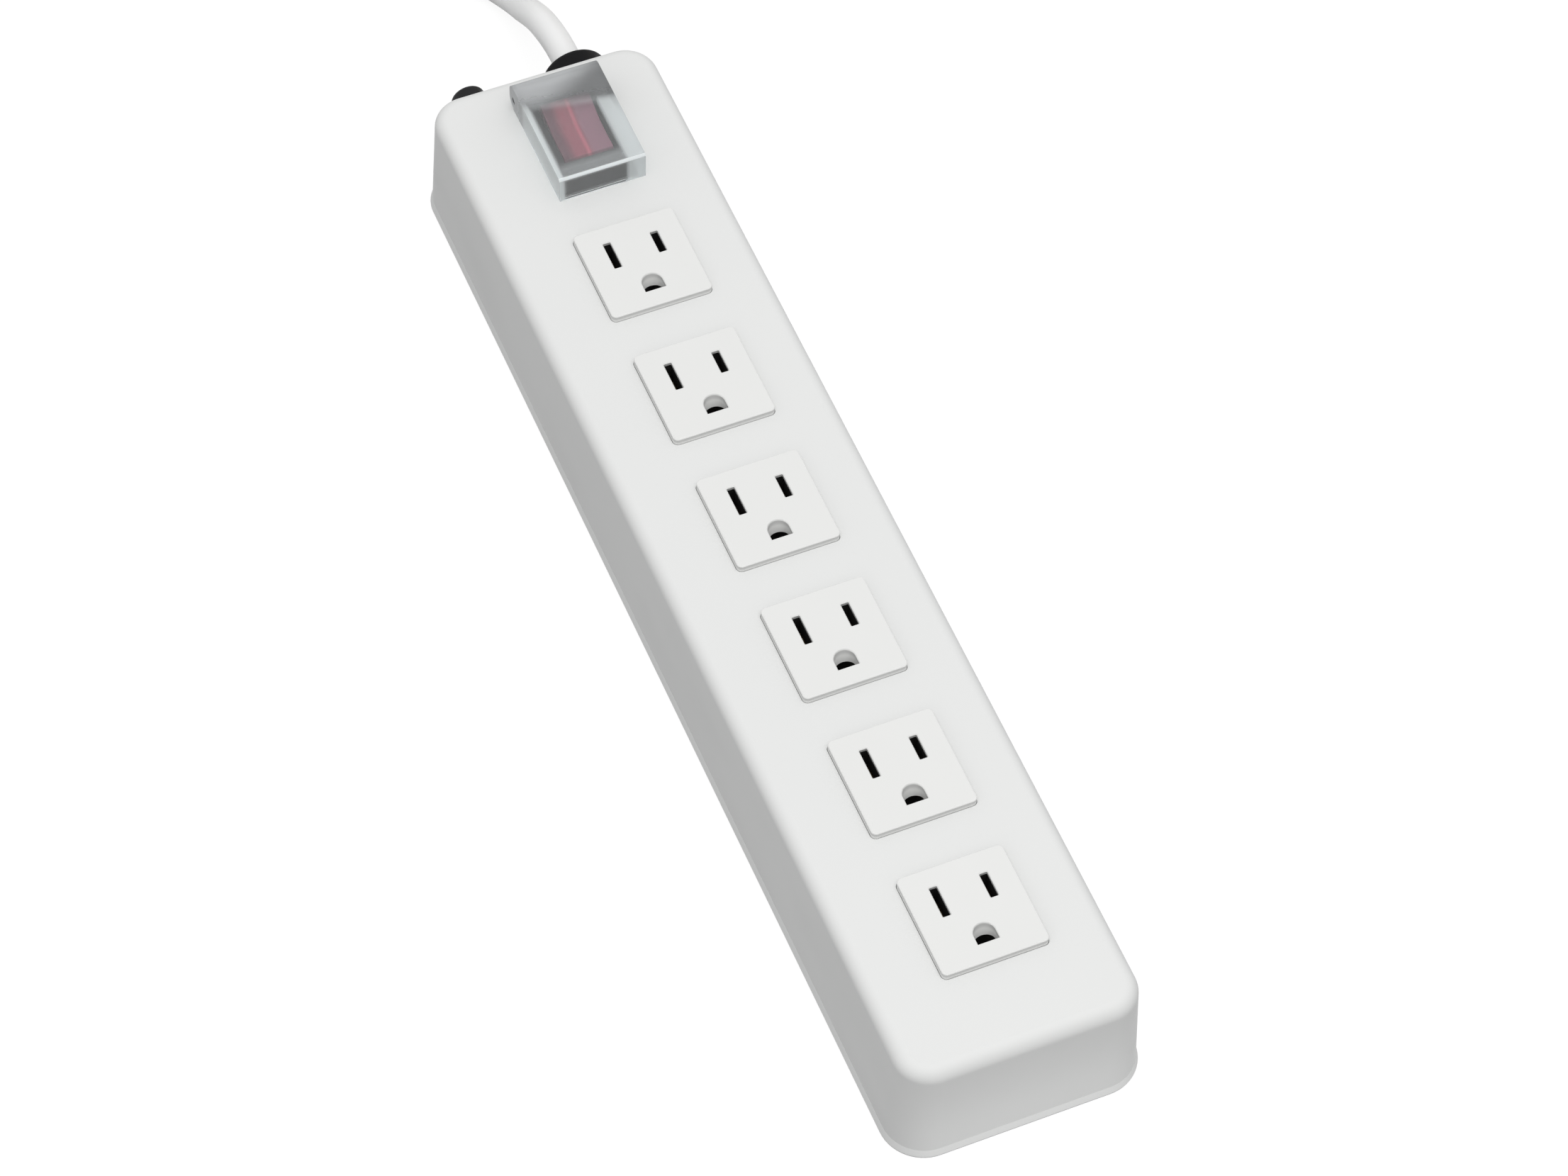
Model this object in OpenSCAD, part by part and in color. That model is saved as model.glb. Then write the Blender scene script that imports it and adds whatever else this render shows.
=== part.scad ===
// Six-outlet power strip with a hinged clear cover over its switch.
// Millimetres. +X points to the cord end, +Z up, and the origin is the centre of the underside.

/* [Housing] */
// Length of the base plate
base_l = 324.2; // [310:1:360]
// Width of the base plate
base_w = 66.4; // [62:1:80]
// Thickness of the base plate
base_t = 2.6; // [2.6:0.2:3.4]
// How far the base plate stands out past the housing, on every side
lip = 0.6; // [0:0.1:1.5]
// Height of the housing's flat top above the underside of the base plate
top_h = 34.6; // [34:0.5:42]
// How far each wall leans in from its foot to the top
draft = 1.5; // [0:0.1:2.5]
// Wall thickness of the housing
wall = 2.4; // [1.8:0.1:2.6]
// Corner radius of the housing's top, seen from above
corner_r = 9; // [5:0.5:14]
// Radius along the top edge
edge_r = 3; // [2:0.5:4]

/* [Outlets] */
// Number of outlets
outlets = 6; // [3:1:6]
// Distance from one outlet to the next
pitch = 42; // [36:0.5:44]
// Where the first outlet's blade slots lie
first_x = 92.65; // [88:0.5:96]
// Sideways place of the row of outlets and of the switch
row_y = -1.7; // [-3:0.1:3]
// Height of an outlet's face above the housing
face_h = 2; // [1:0.1:3]
// Length of an outlet's face
face_l = 28.8; // [28:0.1:31]
// Width of an outlet's face
face_w = 27.6; // [27:0.1:31]
// Distance between the two blade slots
blade_gap = 12.7; // [12.7:0.1:12.8]
// Distance from the line of the blade slots to the earth hole
earth_gap = 11.9; // [11.9:0.1:12]
// Length of the neutral slot
neutral_slot = 8.6; // [7.8:0.1:9]
// Length of the live slot
live_slot = 7; // [6.8:0.1:7.4]
// Width of both slots
slot_w = 2.1; // [1.8:0.1:2.2]
// Radius of the earth hole's arch
earth_r = 2.8; // [2.6:0.1:3]

/* [Switch] */
// Where the switch's middle lies
switch_x = 134.6; // [134:0.2:134.8]
// Length of the rocker, over its round ends
rocker_l = 19.6; // [16:0.2:20]
// Width of the rocker
rocker_w = 13.6; // [11:0.2:14]
// Angle through which the rocker tips
throw = 16; // [12:1:18]
// Where the clear cover's front wall lies
cover_front = 115.4; // [114:0.2:117]
// Width of the clear cover
cover_w = 24; // [23.6:0.2:26]
// Height of the clear cover's top above the housing
cover_h = 8.7; // [8.7:0.1:10]
// Wall thickness of the clear cover
cover_t = 1.3; // [1:0.1:1.5]
// Radius of the clear cover's hinge pin
pin_r = 1; // [0.8:0.1:1.2]

/* [Cord end] */
// Height of the breaker's and the cord's centres
port_z = 18; // [17:0.5:18]
// Sideways place of the cord
cord_y = -14; // [-15:0.5:-13]
// Diameter of the cord
cord_d = 8; // [7:0.5:8]
// Radius of the cord bushing's head
bushing_r = 9; // [8:0.5:9.5]
// Sideways place of the breaker
breaker_y = 15.5; // [15.5:0.5:17]
// Radius of the reset button
button_r = 4.7; // [4:0.1:5]
// Travel of the reset button
button_travel = 3; // [2:0.5:3]

/* [Fits] */
// Running clearance around a hinge pin or a pivot
running = 0.05; // [0.03:0.01:0.08]
// Gap between pieces that move past each other
gap = 0.3; // [0.2:0.05:0.4]
// Gap around a piece that is clipped into a window
seat = 0.15; // [0.1:0.05:0.2]

/* [Hidden] */
$fn = 48;

// Housing
foot_l = base_l - 2 * lip;
foot_w = base_w - 2 * lip;
ceiling_z = top_h - wall;
boss_r = 3.4;
boss_from_side = 8.7;
screw_r = 1.5;
screw_head_r = 2.9;
screw_head_h = 1.4;
screw_l = 12;
screw_rows = [11.5 - foot_l / 2, -17, 111];
keyhole_x = 114.3;
keyhole_r = 4.25;
keyhole_slot_r = 2.25;
keyhole_slot_l = 8;

// Outlets
face_z = top_h + face_h;
face_shift = -4.9;
face_bevel = 0.6;
face_corner = 2;
flange = 1.6;
outlet_floor = 18;
face_skin = 3.2;
earth_flat = 2.4;
chamber_l = 10.4;
chamber_w = 5.2;
earth_chamber = 9.2;

// Contacts
tray_z = 7.6;
tray_t = 1.4;
tray_w = face_w + 0.8;
tray_wall = 1.4;
fin_t = 0.7;
strip_t = 0.8;
leaf_t = 0.7;
blade_t = 1.5;
blade_w = 6.35;
blade_l = 17.9;
earth_pin_r = 2.4;
earth_pin_l = 20.6;
live_leaf_z = 29;
earth_leaf_z = 27;
row_start = first_x + 13;
row_end = first_x - (outlets - 1) * pitch - 22;

// Switch
frame_t = 1.2;
frame_w = cover_w - 2 * cover_t - 0.8;
frame_front = cover_front + cover_t + 0.3;
bezel_t = 1.6;
bezel_edge = 1;
switch_wall = 1.1;
switch_l = rocker_l + 2 * gap + 2 * switch_wall;
switch_w = rocker_w + 2 * gap + 2 * switch_wall;
switch_floor = 17.5;
bezel_z = top_h + frame_t + bezel_t;
pivot_z = top_h + 0.4;
pivot_r = 1.2;
rocker_face = 2.8;
rocker_depth = 1.5;
stem_r = 2.4;
stem_l = 4;
plunger_r = 1.4;
plunger_reach = 8.6;
arm_t = 0.8;
arm_l = 14;
arm_w = 4.4;
arm_tilt = 6;
ridge_r = 0.4;
arm_z = pivot_z - plunger_reach - plunger_r - gap / 2 - arm_t;
terminal_w = 6.3;
terminal_t = 0.8;
terminal_gap = 7.2;
terminal_tip = 10.2;
lamp_r = 1.6;

// Clear cover
pin_z = top_h + 3.6;
lug_r = 2.6;
ear_r = 2;
cover_open = 3.4;
cover_back = switch_x + switch_l / 2 + bezel_edge + 0.2 + ear_r + lug_r;
pin_x = cover_back - lug_r;
cover_top = top_h + cover_h;
cover_foot = top_h + 0.2;
cover_front_r = 1.2;
cover_back_r = 3;
ear_t = 1.6;

// Cord end
wall_x = foot_l / 2;
neck_r = button_r + 1;
nut_r = neck_r + 1.7;
nut_t = 3;
nut_x = wall_x - draft * (port_z - nut_r - base_t) / (top_h - base_t) + 0.05;
breaker_l = 24;
breaker_w = 16;
breaker_h = 14;
breaker_front = wall_x - 4.5;
button_end = wall_x + 9.8;
button_l = button_end - breaker_front - button_travel - 0.5;
bushing_end = wall_x + 7.9;
bushing_start = wall_x - 12.5;
bushing_neck_r = bushing_r - 1.1;
bushing_seat_x = wall_x - draft * (port_z - bushing_r - base_t) / (top_h - base_t) + 0.05;
cord_start = wall_x - 15.5;
wire_r = 1.3;

// Cord route on the floor, and the coil that it ends in
cord_r = cord_d / 2;
coil_at = [272.5, -19];
coil_mid_r = 39.5;
coil_half = 12.5;
coil_layers = 3;
coil_h = coil_layers * cord_d;
lead_route = [[169.4, -14, 18], [173, -14, 18], [177, -14, 17.9], [181, -13.9, 17.6], [186, -13.7, 16.6],
    [191, -13.5, 15], [196, -13.2, 12.6], [201, -12.9, 9.6], [205.7, -12.6, 7.1], [210.7, -11.5, 5.3],
    [215.6, -9.6, 4.4], [220.5, -6.8, 4.1], [224.6, -3.4, 4], [228, 0.4, 4], [230.7, 4.5, 4],
    [235.7, 11.9, 4], [243.1, 18.6, 4]];
tie_w = 12;
tie_t = 0.8;
tie_angle = 60;
tie_spread = tie_w / coil_mid_r * 180 / PI;
plug_w = 26;
plug_at = [268.8, -54.1, coil_h + tie_t + plug_w / 2];

// The cord's end leaves the coil's top inner turn in a rising half circle, and runs into the plug on top
tail_mid = [270.8, -20.7];
tail_r = 33.4;
tail_route = concat(
    [for (a = [45:-15:-90]) [
        tail_mid[0] + tail_r * cos(a),
        tail_mid[1] + tail_r * sin(a),
        eased(coil_h - cord_r, plug_at[2], (45 - a) / 135)]],
    [plug_at - [2, 0, 0]]);
plug_relief_l = 20;
plug_l = 22;
plug_blade_up = 4.5;

// Helpers

function unit(v) = v / norm(v);

// Runs from a to b with a soft start and a soft end, as t goes from 0 to 1
function eased(a, b, t) = a + (b - a) * t * t * (3 - 2 * t);

// A point on the smooth curve between the second and the third of four points
function between(a, b, c, d, t) =
    0.5 * (2 * b + (c - a) * t + (2 * a - 5 * b + 4 * c - d) * t * t
    + (3 * b - a - 3 * c + d) * t * t * t);

// A route's points with more worked out between them on a smooth curve
function smooth(p, steps) = [
    for (i = [0:len(p) - 2])
        for (s = [0:steps - 1])
            between(p[max(i - 1, 0)], p[i], p[i + 1], p[min(i + 2, len(p) - 1)], s / steps),
    p[len(p) - 1]];

function heading(p, i) = unit(p[min(i + 1, len(p) - 1)] - p[max(i - 1, 0)]);

function side_of(t) = unit(cross(t, abs(t[2]) < 0.8 ? [0, 0, 1] : [0, 1, 0]));

// One sideways direction for each point, carried along without twist
function carried(p) = [
    for (i = 0, n = side_of(heading(p, 0));
        i < len(p);
        i = i + 1, n = i < len(p) ? unit(n - (n * heading(p, i)) * heading(p, i)) : n) n];

function ring(c, t, n, r, sides) = [
    for (k = [0:sides - 1]) c + r * (cos(360 * k / sides) * n + sin(360 * k / sides) * cross(t, n))];

// A round tube along a route, flat at both ends
module tube(route, r, sides, steps) {
    p = smooth(route, steps);
    n = carried(p);
    last = len(p) - 1;
    points = [for (i = [0:last]) each ring(p[i], heading(p, i), n[i], r, sides)];
    walls = [for (i = [0:last - 1])
        for (k = [0:sides - 1])
            [i * sides + k, (i + 1) * sides + k,
                (i + 1) * sides + (k + 1) % sides, i * sides + (k + 1) % sides]];
    polyhedron(points, concat(
        [[for (k = [0:sides - 1]) k]],
        walls,
        [[for (k = [sides - 1:-1:0]) last * sides + k]]), convexity = 6);
}

// A body turned round the X axis from [radius, x] points
module turned_x(points) {
    rotate([0, 90, 0])
        rotate_extrude()
            polygon(points);
}

module round_rect(l, w, r) {
    for (x = [-1, 1])
        for (y = [-1, 1])
            translate([x * (l / 2 - r), y * (w / 2 - r)])
                circle(r);
    square([l - 2 * r, w], center = true);
    square([l, w - 2 * r], center = true);
}

// A post whose turned side leans in and rounds over at its top
module corner_post(foot_r, top_r, h, r) {
    rotate_extrude()
        polygon([
            [0, 0],
            [foot_r, 0],
            for (a = [0:15:90]) [top_r - r + r * cos(a), h - r + r * sin(a)],
            [0, h]]);
}

// The housing's outer form, or its hollow with a smaller size and radius
module moulded_block(l, w, h, lean, r_top, r_edge) {
    hull()
        for (x = [-1, 1])
            for (y = [-1, 1])
                translate([x * (l / 2 - lean - r_top), y * (w / 2 - lean - r_top), 0])
                    corner_post(r_top + lean, r_top, h, r_edge);
}

// Copies a child to every cover screw
module at_screws() {
    for (x = screw_rows)
        for (y = [-1, 1])
            translate([x, y * (foot_w / 2 - boss_from_side), 0])
                children();
}

function outlet_x(i) = first_x - i * pitch;

// Housing

module housing_hollow() {
    translate([0, 0, base_t - 1])
        moulded_block(foot_l - 2 * wall, foot_w - 2 * wall, ceiling_z - base_t + 1, draft,
            corner_r - wall, max(edge_r - wall, 0.4));
}

module housing() {
    color("white")
        difference() {
            union() {
                difference() {
                    translate([0, 0, base_t])
                        moulded_block(foot_l, foot_w, top_h - base_t, draft, corner_r, edge_r);
                    housing_hollow();
                }
                at_screws()
                    translate([0, 0, base_t])
                        cylinder(r = boss_r, h = ceiling_z - base_t + 1);
            }
            for (i = [0:outlets - 1])
                translate([outlet_x(i) + face_shift, row_y, ceiling_z - 1])
                    linear_extrude(wall + 2)
                        round_rect(face_l + 2 * seat, face_w + 2 * seat, face_corner + seat);
            translate([switch_x, row_y, top_h])
                cube([switch_l + 2 * seat, switch_w + 2 * seat, 3 * wall], center = true);
            translate([wall_x, cord_y, port_z])
                rotate([0, 90, 0])
                    cylinder(r = bushing_neck_r + seat, h = 6 * wall, center = true);
            translate([wall_x, breaker_y, port_z])
                rotate([0, 90, 0])
                    cylinder(r = neck_r + seat, h = 6 * wall, center = true);
            at_screws()
                translate([0, 0, base_t - 1])
                    cylinder(r = screw_r + 0.1, h = screw_l + 1);
        }
}

module keyhole() {
    cylinder(r = keyhole_r, h = 3 * base_t, center = true);
    translate([keyhole_slot_l, 0, 0])
        cylinder(r = keyhole_slot_r, h = 3 * base_t, center = true);
    translate([keyhole_slot_l / 2, 0, 0])
        cube([keyhole_slot_l, 2 * keyhole_slot_r, 3 * base_t], center = true);
}

module base_plate() {
    color("white")
        difference() {
            union() {
                linear_extrude(base_t)
                    round_rect(base_l, base_w, corner_r + draft + lip);
                for (i = [0:outlets - 2])
                    translate([outlet_x(i) + face_shift - pitch / 2, row_y, (base_t + tray_z) / 2])
                        cube([1.6, tray_w - 4, tray_z - base_t], center = true);
            }
            for (x = [-1, 1])
                translate([x * keyhole_x, 0, 0])
                    keyhole();
            at_screws() {
                translate([0, 0, -1])
                    cylinder(r = screw_head_r + 0.4, h = screw_head_h + 1.2);
                translate([0, 0, -1])
                    cylinder(r = screw_r + 0.25, h = base_t + 2);
            }
        }
}

module cover_screws() {
    color("silver")
        at_screws()
            difference() {
                union() {
                    translate([0, 0, 0.2])
                        cylinder(r = screw_head_r, h = screw_head_h);
                    translate([0, 0, 0.2])
                        cylinder(r = screw_r, h = screw_l);
                }
                for (a = [0, 90])
                    rotate(a)
                        cube([3.4, 0.8, 1.8], center = true);
            }
}

// Outlets

module outlet(i) {
    face_x = outlet_x(i) + face_shift;
    if (i < outlets)
        color("ivory")
            difference() {
                union() {
                    translate([face_x, row_y, ceiling_z - 1])
                        linear_extrude(face_z - ceiling_z + 1 - face_bevel)
                            round_rect(face_l, face_w, face_corner);
                    translate([face_x, row_y, face_z - face_bevel - 0.01])
                        linear_extrude(face_bevel + 0.01)
                            round_rect(face_l - 2 * face_bevel, face_w - 2 * face_bevel, face_corner - face_bevel);
                    translate([face_x, row_y, (outlet_floor + ceiling_z) / 2])
                        cube([face_l + 2 * flange, face_w + 2 * flange, ceiling_z - outlet_floor], center = true);
                }
                for (side = [-1, 1])
                    translate([outlet_x(i), row_y + side * blade_gap / 2, 0]) {
                        translate([0, 0, face_z])
                            cube([side > 0 ? neutral_slot : live_slot, slot_w, 4 * face_skin], center = true);
                        translate([-chamber_l / 2, -chamber_w / 2, outlet_floor - 1])
                            cube([chamber_l, chamber_w, face_z - face_skin - outlet_floor + 1]);
                    }
                translate([outlet_x(i) - earth_gap, row_y, 0]) {
                    translate([-earth_flat, -earth_r, face_z - 2 * face_skin])
                        cube([earth_flat, 2 * earth_r, 4 * face_skin]);
                    translate([0, 0, face_z - 2 * face_skin])
                        cylinder(r = earth_r, h = 4 * face_skin);
                    translate([-earth_chamber / 2, -earth_chamber / 2, outlet_floor - 1])
                        cube([earth_chamber, earth_chamber, face_z - face_skin - outlet_floor + 1]);
                }
            }
}

module outlet_1() {
    outlet(0);
}

module outlet_2() {
    outlet(1);
}

module outlet_3() {
    outlet(2);
}

module outlet_4() {
    outlet(3);
}

module outlet_5() {
    outlet(4);
}

module outlet_6() {
    outlet(5);
}

// Contacts

module contact_tray() {
    color("dimgray")
        translate([row_end, row_y, tray_z])
            difference() {
                translate([0, -tray_w / 2, 0])
                    cube([row_start - row_end, tray_w, outlet_floor - tray_z]);
                translate([tray_wall, -tray_w / 2 + tray_wall, tray_t])
                    difference() {
                        cube([row_start - row_end, tray_w - 2 * tray_wall, outlet_floor]);
                        for (side = [-1, 1])
                            translate([0, tray_w / 2 - tray_wall + side * 3.85 - fin_t / 2, 0])
                                cube([row_start - row_end, fin_t, 6]);
                    }
            }
}

// One side of a contact: a leaf whose top flares so that it guides what is pushed in
module leaf(half_gap, l, foot, h) {
    translate([l / 2, 0, foot])
        rotate([90, 0, -90])
            linear_extrude(l)
                polygon([
                    [half_gap, 0],
                    [half_gap + leaf_t, 0],
                    [half_gap + leaf_t, h - foot - 1.6],
                    [half_gap + leaf_t + 0.5, h - foot],
                    [half_gap + 0.5, h - foot],
                    [half_gap, h - foot - 1.6]]);
}

// A strip with a pair of leaves under every outlet
module bus(y, w, x_shift, half_gap, l, leaf_z, end_x) {
    foot = tray_z + tray_t;
    translate([0, row_y + y, 0]) {
        translate([row_end + 3, -w / 2, foot])
            cube([end_x - row_end - 3, w, strip_t]);
        for (i = [0:outlets - 1])
            translate([outlet_x(i) + x_shift, 0, 0])
                for (flip = [0, 1])
                    mirror([0, flip, 0])
                        leaf(half_gap, l, foot + strip_t - 0.01, leaf_z);
    }
}

module live_bus() {
    color("goldenrod")
        bus(-blade_gap / 2, 3.8, 0, blade_t / 2, 8, live_leaf_z, row_start + 2);
}

module neutral_bus() {
    color("goldenrod")
        bus(blade_gap / 2, 3.8, 0, blade_t / 2, 8, live_leaf_z, row_start + 2);
}

module earth_bus() {
    color("goldenrod")
        bus(0, 6.4, -earth_gap, earth_pin_r + 0.02, 7, earth_leaf_z, row_start + 2);
}

// Switch

module switch_body() {
    color("dimgray")
        translate([switch_x, row_y, 0])
            difference() {
                union() {
                    translate([0, 0, (switch_floor + bezel_z) / 2])
                        cube([switch_l, switch_w, bezel_z - switch_floor], center = true);
                    translate([0, 0, top_h + frame_t])
                        linear_extrude(bezel_t)
                            round_rect(switch_l + 2 * bezel_edge, switch_w + 2 * bezel_edge, 1.5);
                }
                translate([0, 0, switch_floor + 1.4 + bezel_z / 2])
                    cube([rocker_l + 2 * gap, rocker_w + 2 * gap, bezel_z], center = true);
                translate([0, 0, pivot_z])
                    rotate([90, 0, 0])
                        cylinder(r = pivot_r + running, h = switch_w + 2, center = true);
                for (k = [-1:1])
                    translate([k * terminal_gap, 0, switch_floor])
                        cube([terminal_t, terminal_w, 4], center = true);
            }
}

module switch_terminals() {
    color("gold")
        translate([switch_x, row_y, 0]) {
            for (k = [-1:1])
                translate([k * terminal_gap - terminal_t / 2, -terminal_w / 2, terminal_tip])
                    cube([terminal_t, terminal_w, switch_floor + 2 - terminal_tip]);
            translate([-terminal_t / 2, -arm_w / 2, switch_floor + 1.9])
                cube([terminal_t, arm_w, arm_z - ridge_r / 2 - switch_floor - 1.9]);
            translate([0, 0, arm_z])
                rotate([90, 0, 0])
                    cylinder(r = ridge_r, h = arm_w, center = true);
            translate([terminal_gap - 1.6, -arm_w / 2, switch_floor + 1.9])
                cube([2, arm_w, arm_z - switch_floor - 3.4]);
        }
}

module switch_lamp() {
    color("orange")
        translate([switch_x + 6, row_y, pivot_z - 5.2])
            rotate([90, 0, 0])
                cylinder(r = lamp_r, h = rocker_w + gap, center = true);
}

// Rocker, tipped down at its outlet side as it lies when the strip is off
module switch_rocker() {
    half = rocker_l / 2;
    slope = tan(throw / 2);
    peak = rocker_face / cos(throw / 2);
    color("red")
        translate([switch_x, row_y, pivot_z])
            rotate([0, -throw / 2, 0]) {
                difference() {
                    intersection() {
                        rotate([90, 0, 0])
                            cylinder(r = half, h = rocker_w, center = true);
                        translate([0, rocker_w / 2, 0])
                            rotate([90, 0, 0])
                                linear_extrude(rocker_w)
                                    polygon([
                                        [-half, -rocker_depth],
                                        [half, -rocker_depth],
                                        [half, peak + half * slope],
                                        [0, peak],
                                        [-half, peak + half * slope]]);
                    }
                    cylinder(r = plunger_r + 0.1, h = 2 * rocker_depth + 1, center = true);
                }
                translate([0, 0, -stem_l])
                    difference() {
                        cylinder(r = stem_r, h = stem_l - rocker_depth + 0.2);
                        translate([0, 0, -1])
                            cylinder(r = plunger_r + 0.1, h = stem_l);
                    }
                for (side = [-1, 1])
                    translate([0, side * (rocker_w / 2 + gap + 0.2), 0])
                        rotate([90, 0, 0])
                            cylinder(r = pivot_r, h = 2 * gap + 1, center = true);
            }
}

module switch_plunger() {
    color("gainsboro")
        translate([switch_x, row_y, pivot_z])
            rotate([0, -throw / 2, 0]) {
                translate([0, 0, -plunger_reach])
                    sphere(r = plunger_r);
                translate([0, 0, -plunger_reach])
                    cylinder(r = plunger_r, h = plunger_reach + 1);
            }
}

module switch_arm() {
    color("gold")
        translate([switch_x, row_y, arm_z])
            rotate([0, arm_tilt, 0])
                difference() {
                    translate([0, 0, arm_t / 2])
                        cube([arm_l, arm_w, arm_t], center = true);
                    rotate([90, 0, 0])
                        cylinder(r = ridge_r + running, h = arm_w + 1, center = true);
                }
}

// Clear cover

module cover_frame() {
    color("black")
        difference() {
            union() {
                translate([frame_front, row_y - frame_w / 2, top_h])
                    cube([pin_x + ear_r - frame_front, frame_w, frame_t]);
                for (side = [-1, 1])
                    translate([pin_x, row_y + side * (frame_w - ear_t) / 2, 0])
                        rotate([90, 0, 0])
                            linear_extrude(ear_t, center = true) {
                                translate([0, pin_z])
                                    circle(ear_r);
                                translate([-ear_r, top_h])
                                    square([2 * ear_r, pin_z - top_h]);
                            }
            }
            translate([switch_x, row_y, top_h])
                cube([switch_l + 2 * seat, switch_w + 2 * seat, 4 * frame_t], center = true);
            translate([pin_x, row_y, pin_z])
                rotate([90, 0, 0])
                    cylinder(r = pin_r + 0.02, h = frame_w + 2, center = true);
        }
}

module cover_pin() {
    color("silver")
        translate([pin_x, row_y, pin_z])
            rotate([90, 0, 0])
                cylinder(r = pin_r, h = cover_w - 0.4, center = true);
}

// Side view of the cover, in [x, z]
module cover_outline() {
    translate([cover_front, cover_foot])
        square([pin_x - cover_front, cover_top - cover_foot - cover_front_r]);
    translate([cover_front + cover_front_r, cover_top - cover_front_r])
        circle(cover_front_r);
    translate([cover_front + cover_front_r, cover_foot])
        square([cover_back - cover_back_r - cover_front - cover_front_r, cover_top - cover_foot]);
    translate([cover_back - cover_back_r, cover_top - cover_back_r])
        circle(cover_back_r);
    translate([pin_x - 1, pin_z])
        square([1 + lug_r, cover_top - pin_z - cover_back_r]);
    translate([pin_x, pin_z])
        circle(lug_r);
}

// Side view of the cover's hollow, which is open below and behind
module cover_hollow() {
    round = cover_back_r - cover_t;
    translate([cover_front + cover_t, cover_foot - 1])
        square([pin_x - cover_front - cover_t, cover_top - cover_t - cover_foot + 1]);
    translate([cover_back - cover_back_r - 1, cover_top - cover_back_r])
        square([1, round]);
    translate([cover_back - cover_back_r, cover_top - cover_back_r])
        circle(round);
    translate([pin_x - cover_open, cover_foot - 1])
        square([3 * lug_r, pin_z + cover_open - cover_foot + 1]);
}

module switch_cover() {
    color("lightcyan", 0.4)
        translate([0, row_y, 0])
            difference() {
                translate([0, cover_w / 2, 0])
                    rotate([90, 0, 0])
                        linear_extrude(cover_w)
                            cover_outline();
                translate([0, cover_w / 2 - cover_t, 0])
                    rotate([90, 0, 0])
                        linear_extrude(cover_w - 2 * cover_t)
                            cover_hollow();
                translate([pin_x, 0, pin_z])
                    rotate([90, 0, 0])
                        cylinder(r = pin_r + running, h = cover_w + 2, center = true);
            }
}

// Breaker

module breaker_body() {
    color("black")
        translate([breaker_front, breaker_y, port_z])
            difference() {
                union() {
                    translate([-breaker_l, -breaker_w / 2, -breaker_h / 2])
                        cube([breaker_l, breaker_w, breaker_h]);
                    rotate([0, 90, 0])
                        cylinder(r = neck_r, h = nut_x + nut_t + 1 - breaker_front);
                }
                translate([-1, 0, 0])
                    rotate([0, 90, 0])
                        cylinder(r = button_r + seat, h = 20);
            }
}

module breaker_terminals() {
    color("silver")
        for (side = [-1, 1])
            translate([breaker_front - breaker_l - 9, breaker_y + side * 4 - 0.4, port_z - terminal_w / 2])
                cube([9, 0.8, terminal_w]);
}

module breaker_nut() {
    color("silver")
        translate([nut_x, breaker_y, port_z])
            rotate([0, 90, 0])
                difference() {
                    cylinder(r = nut_r, h = nut_t);
                    translate([0, 0, -1])
                        cylinder(r = neck_r + 0.05, h = nut_t + 2);
                    for (a = [0:15:345])
                        rotate(a)
                            translate([nut_r + 0.2, 0, nut_t / 2])
                                cylinder(r = 0.6, h = nut_t + 1, center = true);
                }
}

module reset_button() {
    dome = 1.2;
    color("black")
        translate([button_end - button_l, breaker_y, port_z])
            turned_x([
                [0, 0],
                [button_r, 0],
                for (a = [0:15:90]) [button_r - dome + dome * cos(a), button_l - dome + dome * sin(a)],
                [0, button_l]]);
}

// Cord and bushing

module cord_bushing() {
    round = 1.2;
    bore = cord_r + 0.1;
    head = bushing_end - bushing_start;
    color("black")
        translate([bushing_start, cord_y, port_z])
            turned_x([
                [bore, 0],
                [bore + 2.4, 0],
                [bushing_neck_r + 0.8, breaker_front - bushing_start],
                [bushing_neck_r + 0.8, wall_x - draft - wall - bushing_start - 0.3],
                [bushing_neck_r, wall_x - draft - wall - bushing_start - 0.3],
                [bushing_neck_r, bushing_seat_x - bushing_start],
                [bushing_r + 0.3, bushing_seat_x - bushing_start],
                for (a = [0:15:90]) [bushing_r - round + round * cos(a), head - round + round * sin(a)],
                [bore, head]]);
}

module cord_inner() {
    color("white")
        translate([cord_start, cord_y, port_z])
            rotate([0, 90, 0])
                cylinder(r = cord_r, h = bushing_end - cord_start);
}

module cord_lead() {
    color("white")
        tube(lead_route, cord_r, 10, 1);
}

// Outline of the coil's turns, grown by a margin for the tie that holds them
module bundle(margin) {
    translate([coil_mid_r, tie_t + coil_h / 2])
        round_rect(2 * coil_half + 2 * margin, coil_h + 2 * margin, cord_r - 0.5 + margin);
}

// The coil lies on the floor, and is lifted by the tie's thickness where the tie passes under it
module cord_coil() {
    color("white")
        translate([coil_at[0], coil_at[1], 0]) {
            rotate_extrude($fn = 96)
                bundle(0);
            rotate(tie_angle + tie_spread / 2 + 1)
                rotate_extrude(angle = 358 - tie_spread, $fn = 96)
                    translate([0, -tie_t])
                        bundle(0);
        }
}

module cord_tail() {
    color("white")
        tube(tail_route, cord_r, 10, 1);
}

module cord_tie() {
    color("black")
        translate([coil_at[0], coil_at[1], 0])
            rotate(tie_angle - tie_spread / 2)
                rotate_extrude(angle = tie_spread, $fn = 96)
                    difference() {
                        bundle(tie_t);
                        bundle(0.1);
                    }
}

// Plug

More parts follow.
